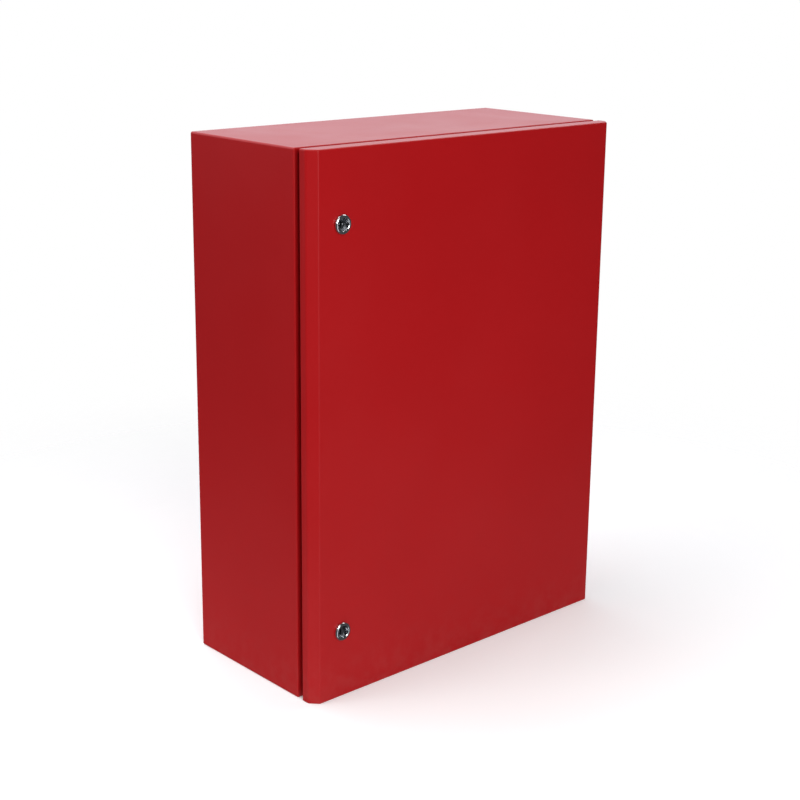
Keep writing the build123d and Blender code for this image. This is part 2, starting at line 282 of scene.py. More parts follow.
MATS = {
    "red_powder_coat": powder_coat("red_powder_coat"),
    "zinc_plated_sheet": zinc_sheet("zinc_plated_sheet"),
    "zinc_plated_fastener": zinc_part("zinc_plated_fastener"),
    "chromed_zinc": chrome("chromed_zinc"),
    "dark_insert": dark_insert("dark_insert"),
    "foam_gasket": foam("foam_gasket"),
    "rubber_seal": rubber("rubber_seal"),
    "diecast_hinge": diecast("diecast_hinge"),
}

for name, ob in NODES.items():
    m = MATS[SLOT_OF[name]]
    if not ob.material_slots:
        ob.data.materials.append(m)
    for s in ob.material_slots:
        s.material = m

# ---------------------------------------------------------------- mesh code


def link_mesh(name, me, sharp=28.0, weighted=True):
    me.update()
    ob = bpy.data.objects.new(name, me)
    bpy.context.scene.collection.objects.link(ob)
    me.shade_smooth()
    me.set_sharp_from_angle(angle=math.radians(sharp))
    if weighted:
        w = ob.modifiers.new("weighted normals", "WEIGHTED_NORMAL")
        w.keep_sharp = True
        w.weight = 60
    return ob


def mesh_from(name, verts, faces, merge=True):
    """Closed mesh from millimetre vertices, with outward normals."""
    me = bpy.data.meshes.new(name)
    bm = bmesh.new()
    vs = [bm.verts.new((v[0] * MM, v[1] * MM, v[2] * MM)) for v in verts]
    for f in faces:
        loop = [vs[i] for i in f]
        if len(set(loop)) >= 3:
            try:
                bm.faces.new(loop)
            except ValueError:
                pass
    if merge:
        bmesh.ops.remove_doubles(bm, verts=bm.verts, dist=2e-7)
    bmesh.ops.recalc_face_normals(bm, faces=bm.faces)
    bm.to_mesh(me)
    bm.free()
    return me


def ring(hx, hz, r, y, nseg=6, sub=0):
    """Rounded rectangle in the XZ plane at height y."""
    pts = []
    corners = ((1, 1, 0), (-1, 1, 90), (-1, -1, 180), (1, -1, 270))
    arcs = []
    for sx, sz, a0 in corners:
        cx, cz = sx * (hx - r), sz * (hz - r)
        arcs.append([(cx + r * math.cos(math.radians(a0 + 90.0 * i / nseg)), y,
                      cz + r * math.sin(math.radians(a0 + 90.0 * i / nseg))) for i in range(nseg + 1)])
    for i, arc in enumerate(arcs):
        pts += arc
        nxt = arcs[(i + 1) % 4][0]
        for k in range(1, sub + 1):
            f = k / (sub + 1)
            pts.append(tuple(arc[-1][j] * (1 - f) + nxt[j] * f for j in range(3)))
    return pts


def arc(cx, cy, r, a0, a1, n):
    return [(cx + r * math.cos(math.radians(a0 + (a1 - a0) * i / n)),
             cy + r * math.sin(math.radians(a0 + (a1 - a0) * i / n))) for i in range(n + 1)]


def sweep_rings(rings, closed, caps=False):
    """Faces over a list of rings with the same number of points."""
    n = len(rings[0])
    verts = [p for r in rings for p in r]
    faces = []
    m = len(rings)
    for i in range(m if closed else m - 1):
        j = (i + 1) % m
        for k in range(n):
            l = (k + 1) % n
            faces.append((i * n + k, i * n + l, j * n + l, j * n + k))
    if caps:
        faces.append(tuple(range(n - 1, -1, -1)))
        faces.append(tuple((m - 1) * n + k for k in range(n)))
    return verts, faces


def boolean(me, others, op="DIFFERENCE"):
    """Exact booleans on meshes, in metres; returns a new mesh."""
    ob = bpy.data.objects.new("tmp_bool", me)
    bpy.context.scene.collection.objects.link(ob)
    tools = []
    for o in others:
        t = bpy.data.objects.new("tmp_tool", o)
        bpy.context.scene.collection.objects.link(t)
        tools.append(t)
        md = ob.modifiers.new("b", "BOOLEAN")
        md.operation = op
        md.solver = "EXACT"
        md.object = t
    bpy.context.view_layer.update()
    dg = bpy.context.evaluated_depsgraph_get()
    out = bpy.data.meshes.new_from_object(ob.evaluated_get(dg))
    for t in tools + [ob]:
        d = t.data
        bpy.data.objects.remove(t)
        bpy.data.meshes.remove(d)
    bm = bmesh.new()
    bm.from_mesh(out)
    bmesh.ops.remove_doubles(bm, verts=bm.verts, dist=1e-6)
    bmesh.ops.dissolve_degenerate(bm, edges=bm.edges, dist=1e-7)
    bm.to_mesh(out)
    bm.free()
    return out


def frame_y(x, y, z):
    """Local XY lies in world XZ, local +Z points to -Y; origin at (x, y, z) in mm."""
    m = Matrix(((1, 0, 0), (0, 0, -1), (0, 1, 0))).to_4x4()
    return Matrix.Translation((x, y, z)) @ m


def frame_back(x, y, z):
    """Local +Z points to +Y."""
    m = Matrix(((-1, 0, 0), (0, 0, 1), (0, 1, 0))).to_4x4()
    return Matrix.Translation((x, y, z)) @ m


def frame_z(x, y, z):
    return Matrix.Translation((x, y, z))


def place(verts, m):
    return [tuple(m @ Vector(v)) for v in verts]


def cylinder(r, h0, h1, m, segs=48, name="cyl"):
    rings = [[(r * math.cos(2 * math.pi * k / segs), r * math.sin(2 * math.pi * k / segs), h) for k in range(segs)]
             for h in (h0, h1)]
    v, f = sweep_rings(rings, False, True)
    return mesh_from(name, place(v, m), f)


def lathe(name, prof, m, segs=64, closed=False):
    """Turned piece: prof is (radius, height) pairs; a radius of 0 closes on the axis."""
    rings = [[(r * math.cos(2 * math.pi * k / segs), r * math.sin(2 * math.pi * k / segs), h) for k in range(segs)]
             for r, h in prof]
    v, f = sweep_rings(rings, closed, False)
    if not closed:
        n = len(prof)
        if prof[0][0] > 0:
            f.append(tuple(range(segs - 1, -1, -1)))
        if prof[-1][0] > 0:
            f.append(tuple((n - 1) * segs + k for k in range(segs)))
    return mesh_from(name, place(v, m), f)


def extruded(name, loops, depth, bevel, m, res=2):
    """Flat outline with holes, depth thick about local Z = 0, with rounded rims."""
    cu = bpy.data.curves.new(name, "CURVE")
    cu.dimensions = "2D"
    cu.fill_mode = "BOTH"
    cu.extrude = depth / 2 - bevel
    cu.bevel_depth = bevel
    cu.bevel_resolution = res
    cu.offset = -bevel
    for loop in loops:
        sp = cu.splines.new("POLY")
        sp.points.add(len(loop) - 1)
        for p, q in zip(sp.points, loop):
            p.co = (q[0], q[1], 0, 1)
        sp.use_cyclic_u = True
    ob = bpy.data.objects.new(name, cu)
    bpy.context.scene.collection.objects.link(ob)
    bpy.context.view_layer.update()
    me = bpy.data.meshes.new_from_object(ob.evaluated_get(bpy.context.evaluated_depsgraph_get()))
    bpy.data.objects.remove(ob)
    bpy.data.curves.remove(cu)
    me.transform(Matrix.Scale(MM, 4) @ m)
    bm = bmesh.new()
    bm.from_mesh(me)
    bmesh.ops.remove_doubles(bm, verts=bm.verts, dist=1e-6)
    bmesh.ops.recalc_face_normals(bm, faces=bm.faces)
    bm.to_mesh(me)
    bm.free()
    me.materials.clear()
    return me


def circle(x, y, r, n=40):
    return [(x + r * math.cos(2 * math.pi * k / n), y + r * math.sin(2 * math.pi * k / n)) for k in range(n)]


def rrect(hx, hy, r, cx=0.0, cy=0.0, n=6):
    return [(p[0] + cx, p[2] + cy) for p in ring(hx, hy, r, 0.0, n)]


def thread(name, r, pitch, depth, h0, h1, m, segs=28, step=6, chamfer=0.8):
    """Threaded rod: a true helix between h0 and h1 with a chamfered free end at h1."""
    rings = []
    n = max(2, int(round((h1 - h0) / pitch * step)))
    for i in range(n + 1):
        h = h0 + (h1 - h0) * i / n
        row = []
        for k in range(segs):
            ph = ((h / pitch) - k / segs) % 1.0
            tri = abs(ph - 0.5) * 2.0
            rr = r - depth * min(1.0, max(0.0, (tri - 0.12) / 0.76))
            rr = min(rr, r - max(0.0, h - (h1 - chamfer)) - 0.02)
            an = 2 * math.pi * k / segs
            row.append((rr * math.cos(an), rr * math.sin(an), h))
        rings.append(row)
    v, f = sweep_rings(rings, False, True)
    return mesh_from(name, place(v, m), f)


def hexnut(name, af, h0, h1, bore, m, flange_r=0.0, flange_h=0.0, both=False, per=8):
    """Hexagon nut with turned chamfers, a countersunk bore and an optional flange."""
    n = 6 * per
    rc = af / 2 * 0.965
    ang = [2 * math.pi * k / n for k in range(n)]

    def hexr(t):
        u = (t + math.pi / 6) % (math.pi / 3) - math.pi / 6
        return (af / 2 - 0.02) / math.cos(u)

    k30 = math.tan(math.radians(30))
    rows = []

    def row(fr, fh):
        rows.append([(fr(t) * math.cos(t), fr(t) * math.sin(t), fh(t)) for t in ang])

    hb = h0 + flange_h
    row(lambda t: bore, lambda t: h0 + 0.5)
    row(lambda t: bore + 0.5, lambda t: h0)
    if flange_h > 0:
        row(lambda t: flange_r - 0.25, lambda t: h0)
        row(lambda t: flange_r, lambda t: h0 + 0.25)
        row(lambda t: flange_r, lambda t: h0 + 0.45)
        row(lambda t: max(hexr(t) + 0.15, flange_r - 1.1), lambda t: hb - 0.15)
        row(lambda t: hexr(t), lambda t: hb + 0.1)
    elif both:
        row(lambda t: rc, lambda t: h0)
        row(lambda t: hexr(t), lambda t: h0 + (hexr(t) - rc) * k30)
    else:
        row(lambda t: hexr(t) - 0.15, lambda t: h0)
        row(lambda t: hexr(t), lambda t: h0 + 0.15)
    row(lambda t: hexr(t), lambda t: h1 - (hexr(t) - rc) * k30)
    row(lambda t: rc, lambda t: h1)
    row(lambda t: bore + 0.5, lambda t: h1)
    row(lambda t: bore, lambda t: h1 - 0.5)
    v, f = sweep_rings(rows, True, False)
    return mesh_from(name, place(v, m), f)


def join(name, meshes):
    """One mesh from several."""
    bm = bmesh.new()
    for me in meshes:
        bm.from_mesh(me)
    out = bpy.data.meshes.new(name)
    bm.to_mesh(out)
    bm.free()
    for me in meshes:
        bpy.data.meshes.remove(me)
    return out


def piece(name, me, node, sharp=28.0, weighted=True, mat=None, also=()):
    """Finishes a mesh as the visible piece of a CAD node."""
    slot = SLOT_OF[node]
    me.materials.clear()
    me.materials.append(mat or MATS[slot])
    ob = link_mesh(name, me, sharp, weighted)
    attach(ob, BODY_OF[node])
    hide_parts(node, *also)
    return ob


# --------------------------------------------------------------- dimensions
HX, HZ, T = 300.0, 400.0, 1.5
BODY_D, GAP, DOOR_T = 238.0, 12.0, 25.0
D = BODY_D + GAP + DOOR_T
LX, LOCK_Z = -247.0, (297.0, -297.0)
HGX, HGY, HINGE_Z = 291.5, -255.0, (297.0, -297.0)

# --------------------------------------------------------------- body shell
# folded sheet section: inset from the outer face, y, corner radius of the contour
n = 5
sec = [(0.0, 0.0, 3.0), (0.0, -8.0, 3.0), (0.0, -228.0, 3.0)]
sec += [(1.8 + p[0], p[1], 3.0 - 1.7 * i / n) for i, p in enumerate(arc(0, -236.2, 1.8, 180, 270, n))]
sec += [(4.0, -238.0, 1.4), (19.0, -238.0, 4.6)]
sec += [(p[0], p[1], 5.2 + 0.8 * i / n) for i, p in enumerate(arc(21.0, -239.0, 1.0, 90, 0, n))]
sec += [(22.0, -241.0, 6.0), (22.0, -262.5, 6.0)]
sec += [(p[0], p[1], 6.0 - 1.5 * i / 6) for i, p in enumerate(arc(22.75, -264.05, 0.75, 180, 360, 6))]
sec += [(23.5, -262.5, 4.5), (23.5, -241.0, 4.5)]
sec += [(p[0], p[1], 4.5 - 0.4 * i / n) for i, p in enumerate(arc(21.0, -239.0, 2.5, 0, 90, n))]
sec += [(19.0, -236.5, 3.9), (4.0, -236.5, 1.2)]
sec += [(p[0], p[1], 1.2 + 0.3 * i / n) for i, p in enumerate(arc(1.8, -236.2, 0.3, 270, 180, n))]
sec += [(1.5, -228.0, 1.5), (1.5, -8.0, 1.5), (1.5, 0.0, 1.5)]
rings = [ring(HX - d, HZ - d, r, y, 6) for d, y, r in sec]
v, f = sweep_rings(rings, True)
shell = mesh_from("body_shell", v, f)
cutters = [extruded("c", [rrect(210, 55, 8, 0.0, -135.0)], 20.0, 0.0, frame_z(0, 0, -HZ))]
for zc in HINGE_Z:
    for s in (-17.0, 17.0):
        cutters.append(cylinder(2.75, -10, 10, frame_y(288.0, -237.0, zc + s), 24))
shell = boolean(shell, cutters)
piece("body_shell_sheet", shell, "body_shell")

# --------------------------------------------------------------- rear panel
sec = [(p[0], p[1], 0.6 + 1.0 * i / 4) for i, p in enumerate(arc(1.5 + 1.4, -1.4, 1.4, 90, 180, 4))]
sec = [(6.0, 0.0, 1.0)] + sec + [(1.5, -15.9, 1.6), (1.7, -16.5, 1.6), (2.8, -16.5, 0.8), (3.0, -15.9, 0.6), (3.0, -2.2, 0.6),
                                  (3.2, -1.7, 0.6), (3.6, -1.5, 0.6), (6.0, -1.5, 0.6)]
rings = [ring(HX - d, HZ - d, r, y, 4) for d, y, r in sec]
v, f = sweep_rings(rings, False, True)
tray = mesh_from("rear_panel", v, f)
tray = boolean(tray, [cylinder(4.5, -10, 10, frame_y(sx * 270.0, -0.7, sz * 370.0), 40) for sx in (-1, 1) for sz in (-1, 1)])
piece("rear_panel_sheet", tray, "rear_panel")

# --------------------------------------------------------------- door panel
FW, FD = 12.0, 13.0          # facet width and depth
fl = math.hypot(FW, FD)
NX, NY = FD / fl, FW / fl    # outward normal of the right facet: (NX, -NY)
DIRX, DIRY = -FW / fl, -FD / fl


def facet_at(off, x=None, y=None):
    px, py = HX - off * NX, -262.0 + off * NY
    if x is not None:
        k = (x - px) / DIRX
        return (x, py + k * DIRY)
    k = (y - py) / DIRY
    return (px + k * DIRX, y)


def bend(p0, p1, p2, r, k):
    """k + 1 points of the rounded corner p1 between p0 and p2."""
    a0, a2 = Vector(p0) - Vector(p1), Vector(p2) - Vector(p1)
    a0.normalize(), a2.normalize()
    half = math.acos(max(-1, min(1, a0.dot(a2)))) / 2
    d = r / math.tan(half)
    c = Vector(p1) + (a0 + a2).normalized() * (r / math.sin(half))
    s, e_ = Vector(p1) + a0 * d, Vector(p1) + a2 * d
    t0, t1 = math.atan2(*(s - c).yx), math.atan2(*(e_ - c).yx)
    dt = (t1 - t0 + math.pi) % (2 * math.pi) - math.pi
    return [(c.x + r * math.cos(t0 + dt * i / k), c.y + r * math.sin(t0 + dt * i / k)) for i in range(k + 1)]


def contour(off, rr):
    """Plan outline of the door, off inside the outer face, bend radius rr: left rear to right rear."""
    y0 = -250.0
    xo, yo = HX - off, -D + off
    r1 = facet_at(off, x=xo)
    r2 = facet_at(off, y=yo)
    half = [(xo, y0), (xo, y0 - 1.0), (xo, -256.5)]
    half += bend((xo, y0), r1, r2, rr + 4.0, 6)
    half += bend(r1, r2, (0.0, yo), rr, 4)
    half += [(r2[0] - 6.0, yo), (r2[0] - 14.0, yo)]
    return [(-x, y) for x, y in half] + half[::-1]


def door_levels(off, R, zmax, rbase):
    """(z, contour) pairs from bottom to top with the end bends."""
    k = 5
    lv = []
    for i in range(k + 1):
        t = math.radians(90.0 * (1 - i / k))
        lv.append((-(zmax - R + R * math.sin(t)), off + R * (1 - math.cos(t))))
    lv += [(-zmax + 8.0, off), (-zmax + 30.0, off), (zmax - 30.0, off), (zmax - 8.0, off)]
    for i in range(k + 1):
        t = math.radians(90.0 * i / k)
        lv.append(((zmax - R + R * math.sin(t)), off + R * (1 - math.cos(t))))
    return [(z, contour(o, max(0.4, rbase - (o - off)))) for z, o in lv]


outer = door_levels(0.0, 2.0, HZ, 2.4)
inner = door_levels(T, 0.6, HZ - T, 1.0)
nc = len(outer[0][1])
verts, faces = [], []
for lv in (outer, inner):
    base = len(verts)
    for z, c in lv:
        verts += [(x, y, z) for x, y in c]
    for i in range(len(lv) - 1):
        for k in range(nc - 1):
            faces.append((base + i * nc + k, base + i * nc + k + 1, base + (i + 1) * nc + k + 1, base + (i + 1) * nc + k))
    faces.append(tuple(base + k for k in range(nc)))
    faces.append(tuple(base + (len(lv) - 1) * nc + k for k in range(nc)))
m0, m1 = 0, len(outer) * nc
for i in range(len(outer) - 1):
    for k in (0, nc - 1):
        faces.append((m0 + i * nc + k, m0 + (i + 1) * nc + k, m1 + (i + 1) * nc + k, m1 + i * nc + k))
for i in (0, len(outer) - 1):
    faces.append((m0 + i * nc, m0 + i * nc + nc - 1, m1 + i * nc + nc - 1, m1 + i * nc))
door = mesh_from("door_panel", verts, faces)
door = boolean(door, [cylinder(11.25, -10, 10, frame_y(LX, -D, zc), 48) for zc in LOCK_Z])
piece("door_panel_sheet", door, "door_panel")

# -------------------------------------------------------------- foam gasket
sub = 46
sec = [(284.0, -273.5), (284.0, -268.6), (283.6, -267.2), (282.6, -266.0), (281.0, -265.35), (279.2, -265.05),
       (274.8, -265.05), (273.0, -265.35), (271.4, -266.0), (270.4, -267.2), (270.0, -268.6), (270.0, -273.5)]
rings = []
for x, y in sec:
    off = 284.0 - x
    rr = ring(x, 384.0 - off, 9.0 - 0.42 * off, y, 5, sub)
    top = max(0.0, (y + 270.0) / 5.0)
    out = []
    for p in rr:
        w = noise.noise(Vector((p[0] * 0.045, 1.7, p[2] * 0.045))) * 0.45 + noise.noise(Vector((p[0] * 0.16, 5.2, p[2] * 0.16))) * 0.18
        out.append((p[0], p[1] - abs(w) * top * 0.7, p[2]))
    rings.append(out)
v, f = sweep_rings(rings, True)
piece("door_gasket_foam", mesh_from("door_gasket", v, f), "door_gasket", sharp=60, weighted=False)

# ----------------------------------------------------------- mounting plate
plate = extruded("mounting_plate", [rrect(255, 355, 6)] + [circle(sx * 225, sz * 325, 4.5) for sx in (-1, 1) for sz in (-1, 1)],
                 2.5, 0.25, frame_y(0, -14.75, 0))
piece("mounting_plate_sheet", plate, "mounting_plate")
parts = {"studs": [], "washers": [], "nuts": []}
for sx in (-1, 1):
    for sz in (-1, 1):
        x, z = sx * 225.0, sz * 325.0
        fr = frame_y(x, 0, z)
        parts["studs"].append(lathe("s", [(0, 1.5), (6.7, 1.5), (7.0, 1.8), (7.0, 13.2), (6.7, 13.5), (0, 13.5)], fr, 40))
        parts["studs"].append(thread("s", 4.0, 1.25, 0.62, 13.4, 30.0, fr))
        parts["washers"].append(lathe("w", [(4.2, 16.0), (8.0, 16.0), (8.0, 17.35), (7.75, 17.6), (4.45, 17.6), (4.2, 17.4)], fr, 48, True))
        parts["nuts"].append(hexnut("n", 13.0, 17.6, 24.1, 3.6, fr @ Matrix.Rotation(0.31 + sx * 0.2 + sz * 0.37, 4, "Z"), both=True))
for k, v in parts.items():
    nd = "mounting_plate_" + k
    piece(nd + "_set", join(nd, v), nd)

# -------------------------------------------------------------- entry plate
z0 = -HZ + T
spots = [(-217.5, -135.0), (217.5, -135.0)] + [(x, -135.0 + s * 62.5) for x in (-145.0, 0.0, 145.0) for s in (-1, 1)]
holes = [circle(x, y, 3.4, 24) for x, y in spots]
piece("entry_plate_gasket_pad", extruded("g", [rrect(225, 70, 10, 0, -135.0), rrect(210, 55, 8, 0, -135.0)] + holes, 3.0, 0.5,
                                         frame_z(0, 0, z0 + 1.5)), "entry_plate_gasket")
piece("entry_plate_sheet", extruded("p", [rrect(225, 70, 10, 0, -135.0)] + holes, 2.0, 0.3, frame_z(0, 0, z0 + 4.0)), "entry_plate")
st, nu = [], []
for i, (x, y) in enumerate(spots):
    fr = frame_z(x, y, z0)
    st.append(thread("s", 3.0, 1.0, 0.48, 0.0, 15.0, fr, 24))
    nu.append(hexnut("n", 10.0, 5.0, 11.5, 2.7, fr @ Matrix.Rotation(0.4 + i * 0.77, 4, "Z"), 7.0, 1.4))
piece("entry_plate_studs_set", join("s", st), "entry_plate_studs")
piece("entry_plate_nuts_set", join("n", nu), "entry_plate_nuts")

# ------------------------------------------------------------ earthing studs
fr = frame_z(-262.0, -120.0, z0)
piece("body_earth_stud_set", join("s", [lathe("c", [(0, 0), (6.8, 0), (7.0, 0.2), (7.0, 1.8), (6.8, 2.0), (0, 2.0)], fr, 40),
                                        thread("s", 4.0, 1.25, 0.62, 1.9, 25.0, fr)]), "body_earth_stud")
piece("body_earth_nut_set", hexnut("n", 13.0, 2.0, 10.1, 3.6, fr @ Matrix.Rotation(0.5, 4, "Z"), 8.5, 1.6), "body_earth_nut")
fr = frame_back(236.0, -273.5, -358.0)
piece("door_earth_stud_set", join("s", [lathe("c", [(0, 0), (4.5, 0), (4.6, 0.1), (4.6, 1.4), (4.5, 1.5), (0, 1.5)], fr, 32),
                                        thread("s", 3.0, 1.0, 0.48, 1.4, 18.0, fr, 24)]), "door_earth_stud")
piece("door_earth_nut_set", hexnut("n", 10.0, 1.5, 8.0, 2.7, fr @ Matrix.Rotation(0.9, 4, "Z"), 6.6, 1.4), "door_earth_nut")

# --------------------------------------------------------------- door rails
st, nu = [], []
for node, xc in (("left_door_rail", -196.0), ("right_door_rail", 236.0)):
    # U section in plan (x, depth from the door's inner face), swept along Z
    k = 4
    w, h, R = 12.0, 14.0, 2.0
    outl = [(-w, 0.0), (-w, h - R)] + [(-w + R + p[0], h - R + p[1]) for p in arc(0, 0, R, 180, 90, k)][1:]
    outl += [(w - R + p[0], h - R + p[1]) for p in arc(0, 0, R, 90, 0, k)] + [(w, 0.0)]
    inl = [(w - T, 0.0), (w - T, h - R)] + [(w - R + p[0], h - R + p[1]) for p in arc(0, 0, R - T, 0, 90, k)][1:]
    inl += [(-w + R + p[0], h - R + p[1]) for p in arc(0, 0, R - T, 90, 180, k)] + [(-w + T, 0.0)]
    u = outl + inl
    rings = [[(xc + x, -273.5 + y, z) for x, y in u] for z in (-320.0, -319.0, 319.0, 320.0)]
    v, f = sweep_rings(rings, False, False)
    nu_ = len(u)
    half = len(outl)
    for b0, flip in ((0, False), (3 * nu_, True)):
        for i in range(half - 1):
            f.append((b0 + i, b0 + i + 1, b0 + nu_ - 2 - i, b0 + nu_ - 1 - i))
    rail = mesh_from("rail", v, f)
    tools = [cylinder(2.6, -6, 6, frame_y(xc, -260.0, (i - 12) * 25.0), 20) for i in range(25)]
    rail = boolean(rail, [join("tools", tools)])
    tabs = [extruded("tab", [rrect(w, 15.0, 3.0), circle(0, -s * 3.0, 3.4, 24)], T, 0.2,
                     frame_y(xc, -272.75, s * 329.0)) for s in (-1, 1)]
    piece(node + "_steel", join("rail", [rail] + tabs), node)
    for s in (-1, 1):
        fr = frame_back(xc, -273.5, s * 332.0)
        st.append(thread("s", 3.0, 1.0, 0.48, 0.0, 13.0, fr, 24))
        nu.append(hexnut("n", 10.0, 1.5, 8.0, 2.7, fr @ Matrix.Rotation(0.3 + s * 0.4 + xc, 4, "Z"), 7.0, 1.4))
piece("door_rail_studs_set", join("s", st), "door_rail_studs")
piece("door_rail_nuts_set", join("n", nu), "door_rail_nuts")

# -------------------------------------------------------------------- hinges
for label, zc in (("upper", HINGE_Z[0]), ("lower", HINGE_Z[1])):
    # bracket: foot on the flange, and the arm, web and barrel as one casting
    foot = extruded("foot", [rrect(8.75, 25.0, 2.5)], 6.0, 0.5, frame_y(288.25, -241.0, zc))
    loop = [(279.5, -239.0), (281.9, -239.0), (281.9, -251.8)]
    loop += [(282.9 + p[0], -252.0 + p[1]) for p in arc(0, 0, 1.0, 180, 270, 3)][1:]
    loop += [(HGX + 5.0 * math.cos(math.radians(t)), HGY + 5.0 * math.sin(math.radians(t))) for t in range(157, -91, -12)]
    loop += [(HGX, HGY - 5.0), (281.0, -260.0), (280.0, -259.6), (279.5, -258.8)]
    arm = extruded("arm", [loop, circle(HGX, HGY, 3.05, 32)], 20.0, 0.4, frame_z(0, 0, zc))
    br = boolean(foot, [arm], "UNION")
    piece(label + "_hinge_bracket_cast", br, label + "_hinge_bracket")
    # leaf: pad along the facet and two ears
    x0, x1 = HX - T - 1.0, facet_at(T, y=-D + T)[0] + 0.8
    a0, b0 = facet_at(T, x=x0), facet_at(T, x=x1)
    a1, b1 = (a0[0] - 2.5 * NX, a0[1] + 2.5 * NY), (b0[0] - 2.5 * NX, b0[1] + 2.5 * NY)
    pad = extruded("pad", [[a0, b0, b1, a1]], 54.0, 0.3, frame_z(0, 0, zc))
    ears = []
    for e0, e1 in ((10.4, 22.0), (-22.0, -10.4)):
        loop = [(HGX + 5.0 * math.cos(math.radians(t)), HGY + 5.0 * math.sin(math.radians(t))) for t in range(-15, 196, 10)]
        loop += [(b1[0] + 0.6, b1[1] + 0.1), (b1[0] + 1.4, b1[1] - 0.5), (a1[0] + 0.4, a1[1] - 0.8), (a1[0] + 0.1, a1[1] + 0.0)]
        ears.append(extruded("ear", [loop, circle(HGX, HGY, 3.02, 32)], e1 - e0, 0.4, frame_z(0, 0, zc + (e0 + e1) / 2)))
    leaf = boolean(pad, ears, "UNION")
    piece(label + "_hinge_leaf_steel", leaf, label + "_hinge_leaf")
    pin = lathe("pin", [(0, -24.0), (2.3, -24.0), (2.97, -23.3), (2.97, 22.0), (4.3, 22.0), (4.6, 22.3), (4.6, 23.6), (4.3, 24.2),
                        (3.7, 24.5), (0, 24.5)], frame_z(HGX, HGY, zc), 40)
    piece(label + "_hinge_pin_steel", pin, label + "_hinge_pin")

scr = []
for zc in HINGE_Z:
    for s in (-17.0, 17.0):
        fr = frame_back(288.0, -236.5, zc + s)
        head = lathe("h", [(0, 0), (4.5, 0), (4.75, 0.25), (4.75, 0.8), (4.4, 1.7), (3.7, 2.35), (2.8, 2.72), (0, 2.75)], fr, 40)
        sock = extruded("k", [circle(0, 0, 1.73, 6)], 3.5, 0.0, fr @ Matrix.Translation((0, 0, 2.75)))
        scr.append(boolean(head, [sock]))
        scr.append(thread("t", 2.5, 0.8, 0.4, 0.1, 6.0, frame_y(288.0, -236.5, zc + s), 20))
piece("hinge_screws_set", join("s", scr), "hinge_screws")

